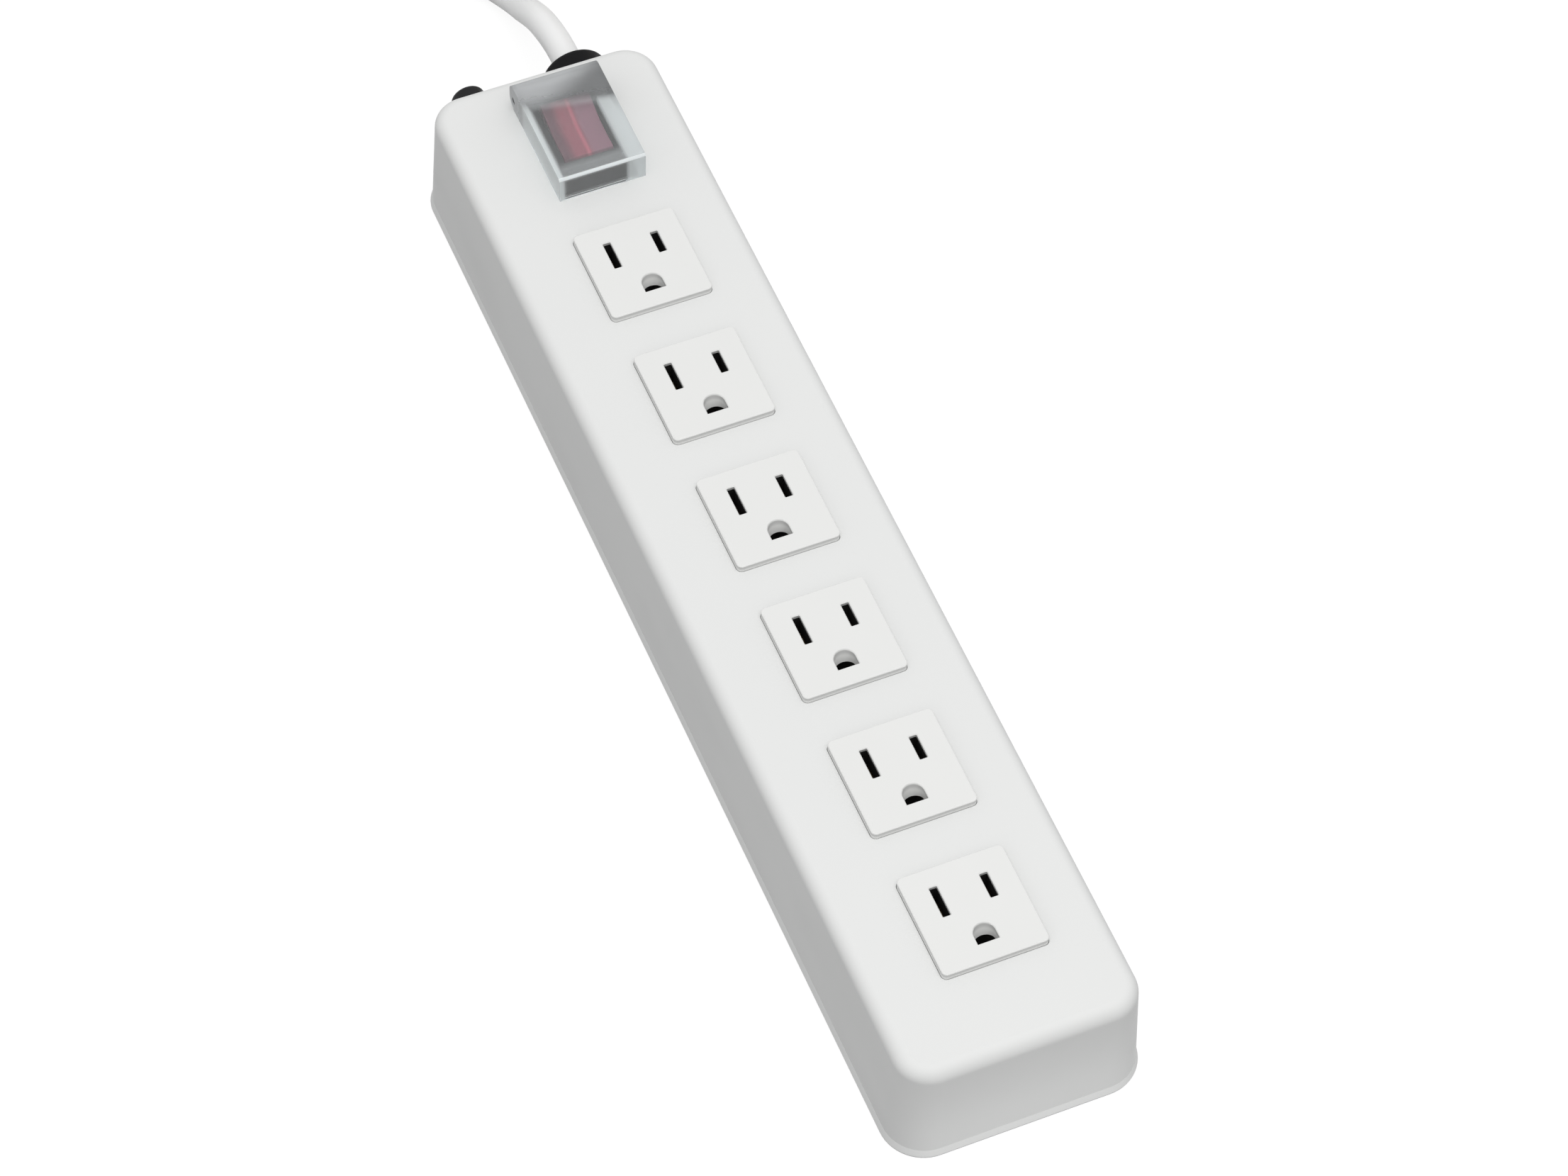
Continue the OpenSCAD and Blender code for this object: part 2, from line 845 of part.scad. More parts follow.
module plug_body() {
    color("white")
        translate(plug_at)
            mirror([1, 0, 0]) {
                rotate([0, 90, 0])
                    rotate_extrude()
                        polygon([
                            [cord_r + 0.1, 0],
                            [cord_r + 1.2, 0],
                            [cord_r + 3, plug_relief_l],
                            [plug_w / 2 - 3, plug_relief_l + 2],
                            [plug_w / 2 - 1, plug_relief_l + 5],
                            [plug_w / 2 - 1, plug_relief_l + 6],
                            [0, plug_relief_l + 6],
                            [0, 2],
                            [cord_r + 0.1, 2]]);
                translate([plug_relief_l + 4, 0, 0])
                    rotate([90, 0, 90])
                        linear_extrude(plug_l - 4)
                            round_rect(plug_w, plug_w, 7);
            }
}

module plug_blades() {
    color("gold")
        translate(plug_at)
            mirror([1, 0, 0])
                for (side = [-1, 1])
                    translate([plug_relief_l + plug_l, side * blade_gap / 2 - blade_t / 2,
                        plug_blade_up - blade_w / 2])
                        difference() {
                            cube([blade_l, blade_t, blade_w]);
                            translate([blade_l - 4.5, -1, blade_w / 2])
                                rotate([-90, 0, 0])
                                    cylinder(r = 1.6, h = blade_t + 2);
                        }
}

module plug_earth_pin() {
    color("gold")
        translate(plug_at + [0, 0, plug_blade_up - earth_gap])
            mirror([1, 0, 0])
                translate([plug_relief_l + plug_l, 0, 0])
                    turned_x([
                        [0, 0],
                        [earth_pin_r, 0],
                        [earth_pin_r, earth_pin_l - 2.4],
                        for (a = [0:15:90]) [earth_pin_r * cos(a), earth_pin_l - 2.4 + 2.4 * sin(a)]]);
}

// Wires inside the housing

module wire(shade, route) {
    color(shade)
        tube(route, wire_r, 8, 3);
}

// Ends of the three cores where the jacket stops
core_live = [cord_start, cord_y - 1.6, port_z - 1.2];
core_neutral = [cord_start, cord_y + 1.6, port_z - 1.2];
core_earth = [cord_start, cord_y, port_z + 1.7];
strip_mid = tray_z + tray_t + strip_t / 2;
tab_x = row_start + 2;
breaker_tip = breaker_front - breaker_l - 9;

module wire_live_in() {
    wire("black", [core_live, core_live - [4, 0, 0], [136, -14.5, 9], [130, -9, 4.8], [124, -1, 4.4],
        [119, 5, 5.5], [116, 9, 11], [breaker_tip - 9, breaker_y - 4, port_z - 2],
        [breaker_tip - 4, breaker_y - 4, port_z], [breaker_tip, breaker_y - 4, port_z]]);
}

module wire_live_link() {
    wire("black", [[breaker_tip, breaker_y + 4, port_z], [breaker_tip - 4, breaker_y + 4, port_z],
        [116.5, 18, 12], [120, 13.5, 7.5], [126, 8, 7], [130, 2, 9.6],
        [switch_x - terminal_t / 2 - 2.5, row_y, terminal_tip + 1.6],
        [switch_x - terminal_t / 2, row_y, terminal_tip + 1.6]]);
}

module wire_live_out() {
    tip = switch_x - terminal_gap - terminal_t / 2;
    wire("black", [[tip, row_y, terminal_tip + 1.6], [tip - 3, row_y, terminal_tip + 1.6],
        [119, row_y - 2.8, 12], [113, -7.4, 11.4], [tab_x + 3, row_y - blade_gap / 2, strip_mid],
        [tab_x, row_y - blade_gap / 2, strip_mid]]);
}

module wire_neutral() {
    wire("white", [core_neutral, core_neutral - [4, 0, 0], [134, -11.8, 10.8], [126, -10, 8.4],
        [119, -5.5, 7.2], [114, 0.5, 7.8], [tab_x + 3, row_y + blade_gap / 2, strip_mid],
        [tab_x, row_y + blade_gap / 2, strip_mid]]);
}

module wire_earth() {
    wire("green", [core_earth, core_earth - [4, 0, 0], [132, -16, 18.6], [122, -14.6, 17],
        [116, -9.4, 16], [112.5, -4, 13.6], [tab_x + 2.4, row_y, strip_mid + 0.6], [tab_x, row_y, strip_mid]]);
}

module wire_lamp() {
    tip = switch_x + terminal_gap - terminal_t / 2;
    wire("white", [[tip, row_y, terminal_tip + 1.6], [tip - 2.4, row_y, terminal_tip + 1.6],
        [137, 4, 14], [132, 5, 14.6], [121, 6.4, 14.6], [113, 6, 13.8], [108, 5, 13.4],
        [tab_x - 2.2, row_y + blade_gap / 2, strip_mid + 2.6],
        [tab_x - 2.2, row_y + blade_gap / 2, strip_mid + strip_t / 2]]);
}

housing();
base_plate();
cover_screws();
outlet_1();
outlet_2();
outlet_3();
outlet_4();
outlet_5();
outlet_6();
contact_tray();
live_bus();
neutral_bus();
earth_bus();
switch_body();
switch_terminals();
switch_lamp();
switch_rocker();
switch_plunger();
switch_arm();
cover_frame();
cover_pin();
switch_cover();
breaker_body();
breaker_terminals();
breaker_nut();
reset_button();
cord_bushing();
cord_inner();
cord_lead();
cord_coil();
cord_tail();
cord_tie();
plug_body();
plug_blades();
plug_earth_pin();
wire_live_in();
wire_live_link();
wire_live_out();
wire_neutral();
wire_earth();
wire_lamp();
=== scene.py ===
from math import cos, pi, radians, sin

import bmesh
import bpy
from mathutils import Matrix, Vector


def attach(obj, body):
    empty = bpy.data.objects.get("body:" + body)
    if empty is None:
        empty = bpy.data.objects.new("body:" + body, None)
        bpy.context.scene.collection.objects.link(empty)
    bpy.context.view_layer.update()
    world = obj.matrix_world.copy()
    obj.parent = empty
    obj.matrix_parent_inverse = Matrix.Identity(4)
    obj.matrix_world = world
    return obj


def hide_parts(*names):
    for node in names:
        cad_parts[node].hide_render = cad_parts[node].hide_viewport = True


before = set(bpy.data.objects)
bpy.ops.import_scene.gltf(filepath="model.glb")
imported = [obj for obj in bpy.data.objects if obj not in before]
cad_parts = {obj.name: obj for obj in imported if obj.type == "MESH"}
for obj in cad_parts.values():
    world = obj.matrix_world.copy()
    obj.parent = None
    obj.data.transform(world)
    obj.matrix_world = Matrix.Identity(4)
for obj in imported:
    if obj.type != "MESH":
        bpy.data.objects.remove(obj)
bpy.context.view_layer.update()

MM = 0.001

# Camera. A long lens looks down along the strip from above its free end, a little
# to the neutral side, with the cord end at the top of the frame.
lens = bpy.data.cameras.new("long_lens")
lens.lens = 121.41
lens.sensor_width = 36
eye = bpy.data.objects.new("eye", lens)
right = (-0.385076, -0.922632, 0.021616)
up = (0.759453, -0.303489, 0.575435)
back = (-0.524355, 0.238002, 0.817562)
stand = Matrix.Translation((-0.70165, 0.31328, 1.099))
eye.matrix_world = stand @ Matrix((right, up, back)).transposed().to_4x4()
bpy.context.scene.collection.objects.link(eye)
bpy.context.scene.camera = eye


# Finishes. Each is one material of mixed nodes: a Finish makes the nodes, and a Field is
# one socket's value over the surface, on which plain sums add their Math nodes.
class Field:
    def __init__(self, finish, socket):
        self.finish, self.socket = finish, socket

    def __add__(self, other):
        return self.finish.math("ADD", self, other)

    def __mul__(self, other):
        return self.finish.math("MULTIPLY", self, other)

    def __sub__(self, other):
        return self.finish.math("SUBTRACT", self, other)

    def __rsub__(self, other):
        return self.finish.math("SUBTRACT", other, self)


class Finish:
    def __init__(self, name, **sockets):
        self.material = bpy.data.materials.new(name)
        self.material.use_nodes = True
        self.tree = self.material.node_tree
        self.shader = self.tree.nodes["Principled BSDF"]
        self.place = self.node("ShaderNodeTexCoord", output="Object")
        for socket, value in sockets.items():
            self.set(socket.replace("_", " "), value)

    def node(self, kind, settings=None, sockets=None, output=0):
        made = self.tree.nodes.new(kind)
        for name, value in (settings or {}).items():
            if name == "stops":
                stops = made.color_ramp.elements
                while len(stops) < len(value):
                    stops.new(1)
                for stop, (at, colour) in zip(stops, value):
                    stop.position, stop.color = at, colour
            else:
                setattr(made, name, value)
        for name, value in (sockets or {}).items():
            self.feed(made.inputs[name], value)
        return Field(self, made.outputs[output])

    def feed(self, socket, value):
        if isinstance(value, Field):
            self.tree.links.new(value.socket, socket)
        else:
            socket.default_value = value

    def set(self, socket, value):
        self.feed(self.shader.inputs[socket], value)

    def math(self, operation, a, b=0.0):
        return self.node("ShaderNodeMath", {"operation": operation}, {0: a, 1: b})

    def noise(self, grain, detail=2.0, place=None):
        """Soft random values from 0 to 1, in patches about one grain across, in metres."""
        return self.node("ShaderNodeTexNoise", {"normalize": True},
                         {"Vector": place or self.place, "Scale": 1 / grain, "Detail": detail}, "Fac")

    def stretched(self, x, y, z):
        """The surface's coordinates, with each axis scaled on its own."""
        return self.node("ShaderNodeMapping", None, {"Vector": self.place, "Scale": (x, y, z)})

    def axis(self, name):
        """One coordinate of the surface, in metres."""
        return self.node("ShaderNodeSeparateXYZ", None, {0: self.place}, name)

    def between(self, value, low, high, floor=0.0, ceiling=1.0):
        """Runs smoothly from floor to ceiling as a value goes from low to high."""
        return self.node("ShaderNodeMapRange", {"interpolation_type": "SMOOTHSTEP"}, {
            "Value": value, "From Min": low, "From Max": high, "To Min": floor, "To Max": ceiling})

    def blend(self, share, first, second):
        """A colour that goes from the first to the second as share goes from 0 to 1."""
        colours = {k: v if isinstance(v, Field) else (*v, 1) for k, v in ((6, first), (7, second))}
        return self.node("ShaderNodeMix", {"data_type": "RGBA"}, {0: share, **colours}, 2)

    def relief(self, height, depth, strength):
        """Bumps the surface by a height from 0 to 1 that stands for depth, in metres."""
        self.set("Normal", self.node("ShaderNodeBump", None,
                                     {"Strength": strength, "Distance": depth, "Height": height}))


def link(name, data):
    piece = bpy.data.objects.new(name, data)
    bpy.context.scene.collection.objects.link(piece)
    return piece


# Mains lead. One round white PVC lead 8 mm thick leaves the bushing level, drops to the floor
# and lies ahead of the strip, where its spare length is wound in a coil of three layers.
LEAD_D, LEAD_LENGTH = 8 * MM, 1.73
COIL_MIDDLE = Vector((272.5, -19, 0.05)) * MM
COIL_OUT, COIL_IN = 48 * MM, 31 * MM
COIL_START, COIL_STEP, COIL_KNOTS = 150, 15, 48
CLIMB_KNOTS = 6
TIE_ANGLE, TIE_LIFT, TIE_FLAT, TIE_REACH = 60, 0.8 * MM, 14, 34
RISE_MIDDLE, RISE_R, RISE_KNOTS = Vector((270.8, -20.7, 20)) * MM, 33.4 * MM, 9
PLUG = Vector((268.8, -54.1, 37.8)) * MM


def eased(t):
    """Goes from 0 to 1 with a level start and a level end."""
    return t * t * (3 - 2 * t)


def coil_point(angle, radius, height):
    """A point of the winding, lifted where the tie passes under it."""
    away = abs((angle - TIE_ANGLE + 180) % 360 - 180)
    lift = TIE_LIFT * eased(min(max((TIE_REACH - away) / (TIE_REACH - TIE_FLAT), 0), 1))
    turn = radians(angle)
    return COIL_MIDDLE + Vector((radius * cos(turn), radius * sin(turn), height + lift))


def lead_route():
    """The lead's line: off the bushing, down to the floor, round the layers and up to the plug."""
    line = [Vector(p) * MM for p in (
        (169.4, -14, 18), (173, -14, 18), (177, -14, 17.9), (181, -13.9, 17.6), (186, -13.7, 16.6),
        (191, -13.5, 15), (196, -13.2, 12.6), (201, -12.9, 9.6), (205.7, -12.6, 7.1), (210.7, -11.5, 5.3),
        (215.6, -9.6, 4.4), (220.5, -6.8, 4.15), (224.6, -3.4, 4.05), (228, 0.4, 4.05))]
    angle, radius, pitch = COIL_START, COIL_OUT, (COIL_IN - COIL_OUT) / COIL_KNOTS
    for layer, steps in enumerate((COIL_KNOTS, COIL_KNOTS, COIL_KNOTS - 5)):
        height = (layer + 0.5) * LEAD_D
        for i in range(steps + 1):
            line.append(coil_point(angle - i * COIL_STEP, radius + i * pitch, height))
        angle, radius, pitch = angle - steps * COIL_STEP, radius + steps * pitch, -pitch
        if layer < 2:
            for i in range(1, CLIMB_KNOTS):
                climb = LEAD_D * eased(i / CLIMB_KNOTS)
                line.append(coil_point(angle - i * COIL_STEP, radius, height + climb))
            angle -= CLIMB_KNOTS * COIL_STEP
    for i in range(1, RISE_KNOTS + 1):
        turn = radians(45 - COIL_STEP * i)
        bend = RISE_R + 1.8 * MM * (1 - eased(min(i / 4, 1)))
        rise = (PLUG.z - RISE_MIDDLE.z) * eased(i / RISE_KNOTS)
        line.append(RISE_MIDDLE + Vector((bend * cos(turn), bend * sin(turn), rise)))
    line.append(PLUG - Vector((2 * MM, 0, 0)))
    return line


lead_curve = bpy.data.curves.new("mains_lead", "CURVE")
lead_curve.dimensions = "3D"
lead_curve.resolution_u = 4
lead_curve.bevel_depth = LEAD_D / 2
lead_curve.bevel_resolution = 5
lead_curve.use_fill_caps = True
spline = lead_curve.splines.new("BEZIER")
route = lead_route()
spline.bezier_points.add(len(route) - 1)
for knot, point in zip(spline.bezier_points, route):
    knot.co = point
    knot.handle_left_type = knot.handle_right_type = "AUTO"
lead = link("mains_lead", lead_curve)

jacket = Finish("white_jacket", Roughness=0.42, Coat_Weight=0.12, Coat_Roughness=0.35)
handling = jacket.noise(14 * MM, 4)
jacket.set("Base Color", jacket.blend(handling, (0.91, 0.915, 0.915), (0.95, 0.95, 0.945)))
jacket.set("Roughness", jacket.between(jacket.noise(3 * MM, 3), 0.3, 0.7, 0.36, 0.5))
jacket.relief(jacket.noise(0.7 * MM, 3), 0.02 * MM, 0.5)
lead_curve.materials.append(jacket.material)
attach(lead, "strip")
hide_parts("cord_lead", "cord_coil", "cord_tail")


# Floor and studio light. The strip lies on a plain pale sheet under one large soft key above its
# free end, with even fill and two weak cards beside that end. The sheet shows white to the eye
# while it keeps the strip's shadow.
sheet_form = bmesh.new()
bmesh.ops.create_grid(sheet_form, x_segments=1, y_segments=1, size=6)
bmesh.ops.translate(sheet_form, verts=sheet_form.verts, vec=(0, 0, -0.05 * MM))
sheet_mesh = bpy.data.meshes.new("paper")
sheet_form.to_mesh(sheet_mesh)
paper = link("paper", sheet_mesh)
sheet = Finish("paper_white", Base_Color=(0.15, 0.15, 0.15, 1), Roughness=0.9)
sheet.set("Specular IOR Level", 0.0)
direct = sheet.node("ShaderNodeLightPath", output="Is Camera Ray")
mirrored = Field(sheet, direct.socket.node.outputs["Is Glossy Ray"])
through = Field(sheet, direct.socket.node.outputs["Is Transmission Ray"])
in_sight = sheet.math("MAXIMUM", direct, sheet.math("MAXIMUM", mirrored, through))
plain = Field(sheet, sheet.shader.outputs[0])
glow = sheet.node("ShaderNodeEmission", None, {"Color": (1, 1, 1, 1), "Strength": 0.9})
lit = sheet.node("ShaderNodeAddShader", None, {0: plain, 1: glow})
whitened = sheet.node("ShaderNodeMixShader", None, {0: in_sight, 1: plain, 2: lit})
sheet.feed(sheet.tree.nodes["Material Output"].inputs["Surface"], whitened)
sheet_mesh.materials.append(sheet.material)

world = bpy.data.worlds.new("room")
world.use_nodes = True
bpy.context.scene.world = world
air = world.node_tree
room = air.nodes["Background"]
room.inputs["Color"].default_value = (0.97, 0.985, 1, 1)
room.inputs["Strength"].default_value = 0.27
backdrop = air.nodes.new("ShaderNodeBackground")
backdrop.inputs["Color"].default_value = (1, 1, 1, 1)
path = air.nodes.new("ShaderNodeLightPath")
either = None
for kind in ("Is Camera Ray", "Is Glossy Ray", "Is Transmission Ray"):
    step = air.nodes.new("ShaderNodeMath")
    step.operation = "MAXIMUM"
    air.links.new(path.outputs[kind], step.inputs[0])
    if either:
        air.links.new(either.outputs[0], step.inputs[1])
    either = step
choice = air.nodes.new("ShaderNodeMixShader")
air.links.new(either.outputs[0], choice.inputs[0])
air.links.new(room.outputs[0], choice.inputs[1])
air.links.new(backdrop.outputs[0], choice.inputs[2])
air.links.new(choice.outputs[0], air.nodes["World Output"].inputs["Surface"])


def softbox(name, place, aim, size, power, colour=(1, 1, 1)):
    """A rectangular lamp at a place, turned to an aim, that the camera doesn't see."""
    lamp = bpy.data.lights.new(name, "AREA")
    lamp.shape, lamp.energy, lamp.color = "RECTANGLE", power, colour
    lamp.size, lamp.size_y = size
    holder = link(name, lamp)
    holder.location = place
    holder.rotation_euler = (Vector(aim) - Vector(place)).to_track_quat("-Z", "Y").to_euler()
    holder.visible_camera = False


softbox("key", (-0.5, 0.05, 2.6), (0, 0, 0.02), (2.6, 2.2), 30, (1, 0.998, 0.99))
softbox("near_fill", (-0.35, 0.35, 0.25), (-0.1, 0, 0.02), (0.2, 0.2), 0.09)
softbox("near_card", (-0.19, 0, 0.003), (-0.16, 0, 0.01), (0.09, 0.006), 0.0032)


# Housing. One ABS shell, moulded in white with walls that lean in, a rounded top edge and
# rounded corners. Windows in its top let the outlets and the switch through, and its end wall
# has round holes for the cord and the breaker.
FOOT_L, FOOT_W, TOP_INSET = 323 * MM, 65.2 * MM, 1.5 * MM
PLATE_T, TOP_Z, WALL = 2.6 * MM, 34.6 * MM, 2.4 * MM
CORNER, EDGE = 9 * MM, 3.8 * MM
ROW_Y = -1.7 * MM
OUTLET_X = [(92.65 - 42 * i) * MM for i in range(6)]
FACE_L, FACE_W, FACE_SHIFT = 28.8 * MM, 27.6 * MM, -4.9 * MM
WINDOW_GAP, WINDOW_CORNER = 0.15 * MM, 1.55 * MM
SWITCH_X = 134.6 * MM
SWITCH_L, SWITCH_W, SWITCH_GAP = 22.4 * MM, 16.4 * MM, 0.05 * MM
PORT_Z, CORD_Y, BREAKER_Y = 18 * MM, -14 * MM, 15.5 * MM
CORD_HOLE_R, BREAKER_HOLE_R = 8.05 * MM, 5.85 * MM
DRILL_FROM, DRILL_TO = 150 * MM, 170 * MM


def whole(form):
    """All of a form's parts, for an operator that works on the whole of it."""
    return form.verts[:] + form.edges[:] + form.faces[:]


def points_of(parts):
    """The vertices among the parts that an extrusion made."""
    return [part for part in parts if isinstance(part, bmesh.types.BMVert)]


def rounded(form, edges, radius, segments):
    """Rounds some edges of a form."""
    bmesh.ops.bevel(form, geom=edges, offset=radius, offset_type="OFFSET", segments=segments,
                    profile=0.5, affect="EDGES", material=-1)


def cut_through(form, spot, away, drop=True):
    """Cuts a form along a plane, and drops what lies on the plane's far side."""
    bmesh.ops.bisect_plane(form, geom=whole(form), dist=1e-7, plane_co=spot, plane_no=away,
                           clear_outer=drop)


def block_form(length, width, low, high, middle):
    """A plain block between two heights."""
    form = bmesh.new()
    place = Matrix.Translation((*middle, (low + high) / 2))
    bmesh.ops.create_cube(form, size=1, matrix=place @ Matrix.Diagonal((length, width, high - low, 1)))
    return form


def rounded_slab(length, width, low, high, corner, segments=10, middle=(0, 0)):
    """A block with its four upright edges rounded."""
    form = block_form(length, width, low, high, middle)
    uprights = [e for e in form.edges if abs(e.verts[0].co.z - e.verts[1].co.z) > 1e-6]
    rounded(form, uprights, corner, segments)
    return form


def round_over(form, chosen, radius, segments):
    """Rounds the edges whose two ends a test picks."""
    rounded(form, [e for e in form.edges if all(chosen(v.co) for v in e.verts)], radius, segments)


def level(z):
    """A test for points at one height."""
    return lambda point: abs(point.z - z) < 1e-6


def draw_out(form, chosen, length, width, corner, reach):
    """Moves a rounded outline out from its corners' centres, or in."""
    for vert in form.verts:
        if chosen(vert.co):
            x, y = (max(min(at, size / 2 - corner), corner - size / 2)
                    for at, size in ((vert.co.x, length), (vert.co.y, width)))
            vert.co += (vert.co - Vector((x, y, vert.co.z))).normalized() * reach


def carve(form, *tools, hollow=0.0):
    """Gives a form its wall thickness, if it has one, and takes the tools' shapes out of it."""
    mesh = bpy.data.meshes.new("blank")
    form.to_mesh(mesh)
    form.free()
    blank = link("blank", mesh)
    if hollow:
        wall = blank.modifiers.new("wall", "SOLIDIFY")
        wall.thickness, wall.offset, wall.use_even_offset = hollow, -1, True
    cutters = []
    for tool in tools:
        bmesh.ops.recalc_face_normals(tool, faces=tool.faces)
        cutter_mesh = bpy.data.meshes.new("cutter")
        tool.to_mesh(cutter_mesh)
        tool.free()
        cutter = link("cutter", cutter_mesh)
        cutters.append(cutter)
        cut = blank.modifiers.new("cut", "BOOLEAN")
        cut.operation, cut.solver, cut.object = "DIFFERENCE", "EXACT", cutter
    bpy.context.view_layer.update()
    cut_form = bmesh.new()
    cut_form.from_object(blank, bpy.context.evaluated_depsgraph_get())
    for spent in [blank, *cutters]:
        bpy.data.objects.remove(spent)
    bmesh.ops.remove_doubles(cut_form, verts=cut_form.verts, dist=1e-6)
    return cut_form


def rod(radius, start, end, segments=48):
    """A round rod from one point to another."""
    start, end = Vector(start), Vector(end)
    form = bmesh.new()
    turn = (end - start).to_track_quat("Z", "Y").to_matrix().to_4x4()
    bmesh.ops.create_cone(form, cap_ends=True, segments=segments, radius1=radius, radius2=radius,
                          depth=(end - start).length, matrix=Matrix.Translation((start + end) / 2) @ turn)
    return form


def finished(name, form, finish, body, nodes=(), crease=32, weighted=True):
    """Turns a form into a piece, smooth but for its sharp edges, and says what it stands for."""
    mesh = bpy.data.meshes.new(name)
    form.to_mesh(mesh)
    form.free()
    mesh.polygons.foreach_set("use_smooth", [True] * len(mesh.polygons))
    mesh.set_sharp_from_angle(angle=radians(crease))
    mesh.materials.append(finish.material)
    piece = link(name, mesh)
    if weighted:
        even = piece.modifiers.new("even_shading", "WEIGHTED_NORMAL")
        even.keep_sharp = True
    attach(piece, body)
    if nodes:
        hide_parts(*nodes)
    return piece


top_l, top_w = FOOT_L - 2 * TOP_INSET, FOOT_W - 2 * TOP_INSET
shell = rounded_slab(top_l, top_w, PLATE_T, TOP_Z, CORNER, 14)
draw_out(shell, level(PLATE_T), top_l, top_w, CORNER, TOP_INSET)
round_over(shell, level(TOP_Z), EDGE, 10)
below = [f for f in shell.faces if all(level(PLATE_T)(v.co) for v in f.verts)]
bmesh.ops.delete(shell, geom=below, context="FACES_ONLY")
low, high = TOP_Z - 6 * MM, TOP_Z + 3 * MM
windows = [rounded_slab(FACE_L + 2 * WINDOW_GAP, FACE_W + 2 * WINDOW_GAP, low, high, WINDOW_CORNER, 6,
                        (x + FACE_SHIFT, ROW_Y)) for x in OUTLET_X]
windows.append(rounded_slab(SWITCH_L + 2 * SWITCH_GAP, SWITCH_W + 2 * SWITCH_GAP, low, high,
                            0.3 * MM, 3, (SWITCH_X, ROW_Y)))
for radius, y in ((CORD_HOLE_R, CORD_Y), (BREAKER_HOLE_R, BREAKER_Y)):
    windows.append(rod(radius, (DRILL_FROM, y, PORT_Z), (DRILL_TO, y, PORT_Z)))
shell = carve(shell, *windows, hollow=WALL)

white_abs = Finish("white_abs", IOR=1.42, Specular_IOR_Level=0.12)
cloud = white_abs.noise(60 * MM, 3)
fine = white_abs.noise(0.35 * MM, 2)
# Painted shadow: upright faces lowest to the floor, below 0.3 mm and fading out by 0.8 mm, are darkened
# towards dark grey, a contact shadow along the foot of the walls and the plate.
facing = white_abs.node("ShaderNodeNewGeometry", output="Normal")
facing_up = white_abs.node("ShaderNodeSeparateXYZ", None, {0: facing}, "Z")
upright = 1 - white_abs.between(white_abs.math("ABSOLUTE", facing_up), 0.4, 0.7)
painted_foot_shadow = (1 - white_abs.between(white_abs.axis("Z"), 0.3 * MM, 0.8 * MM)) * upright
clean_abs = white_abs.blend(cloud, (0.812, 0.817, 0.812), (0.832, 0.836, 0.828))
white_abs.set("Base Color", white_abs.blend(painted_foot_shadow * 0.8, clean_abs, (0.3, 0.3, 0.3)))
rubbed = white_abs.between(white_abs.noise(9 * MM, 5, white_abs.stretched(0.25, 1, 1)), 0.45, 0.75)
white_abs.set("Roughness", rubbed * 0.08 + 0.42 + fine * 0.06)
white_abs.relief(fine, 0.012 * MM, 0.35)
finished("housing_shell", shell, white_abs, "strip", ["housing"])


# Base plate. A flat white plate closes the housing from below and stands out past its walls by
# a hair; it has two keyholes for wall screws and sunk seats for the six screws that hold it.
BASE_L, BASE_W, BASE_CORNER = 324.2 * MM, 66.4 * MM, 11.1 * MM
LIP_Z, LIP_LEAN, LIP_EDGE = 0.8 * MM, 0.58 * MM, 0.55 * MM
KEYHOLES, KEY_R, KEY_SLOT_L, KEY_SLOT_W = (-114.3 * MM, 114.3 * MM), 4.25 * MM, 12.5 * MM, 4.5 * MM
SCREW_SPOTS = [(x * MM, side * 23.9 * MM) for x in (-150, -17, 111) for side in (-1, 1)]
SINK_R, SINK_T, BORE_R = 3.3 * MM, 1.6 * MM, 1.75 * MM

plate = rounded_slab(BASE_L, BASE_W, 0, PLATE_T, BASE_CORNER, 14)
cut_through(plate, (0, 0, LIP_Z), (0, 0, 1), drop=False)
draw_out(plate, level(PLATE_T), BASE_L, BASE_W, BASE_CORNER, -LIP_LEAN)
round_over(plate, level(0), LIP_EDGE, 3)
tools = []
for x in KEYHOLES:
    tools.append(rod(KEY_R, (x, 0, -MM), (x, 0, 4 * MM)))
    tools.append(rounded_slab(KEY_SLOT_L, KEY_SLOT_W, -MM, 4 * MM, 2.24 * MM, 10, (x + 4 * MM, 0)))
for x, y in SCREW_SPOTS:
    tools.append(rod(SINK_R, (x, y, -MM), (x, y, SINK_T), 32))
    tools.append(rod(BORE_R, (x, y, MM), (x, y, 4 * MM), 24))
finished("bottom_plate", carve(plate, *tools), white_abs, "strip", ["base_plate"])

steel = Finish("zinc_steel", Metallic=1.0)
brushed = steel.noise(0.5 * MM, 4)
steel.set("Base Color", steel.blend(steel.noise(4 * MM, 3), (0.52, 0.53, 0.55), (0.68, 0.68, 0.68)))
steel.set("Roughness", steel.between(brushed, 0.3, 0.7, 0.24, 0.42))
steel.relief(brushed, 0.01 * MM, 0.4)


def dress(finish, *nodes):
    """Gives the frame's own nodes a finish."""
    for node in nodes:
        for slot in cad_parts[node].material_slots:
            slot.material = finish.material


dress(steel, "cover_screws", "breaker_nut", "breaker_terminals")


# Outlets. Six white nylon faces snap up through the windows, each with a long neutral slot, a
# shorter live slot and an arched earth hole; behind them sits a black socket core, whose black is
# partly its own colour and partly painted shade deep inside the slots.
FACE_Z, FACE_T, FACE_CORNER, FACE_EDGE = 36.6 * MM, 1.1 * MM, 1.4 * MM, 0.35 * MM
BLADE_GAP, EARTH_GAP = 12.7 * MM, 11.9 * MM
SLOT_W, NEUTRAL_L, LIVE_L = 2.1 * MM, 8.6 * MM, 7 * MM
EARTH_R, EARTH_FLAT, EARTH_TAPER = 2.8 * MM, 2.4 * MM, (0.45, 0.92)
RIM = 0.22 * MM
COLLAR, COLLAR_SHIFT = 3.6 * MM, 0.2 * MM
CORE_Z = 18.2 * MM


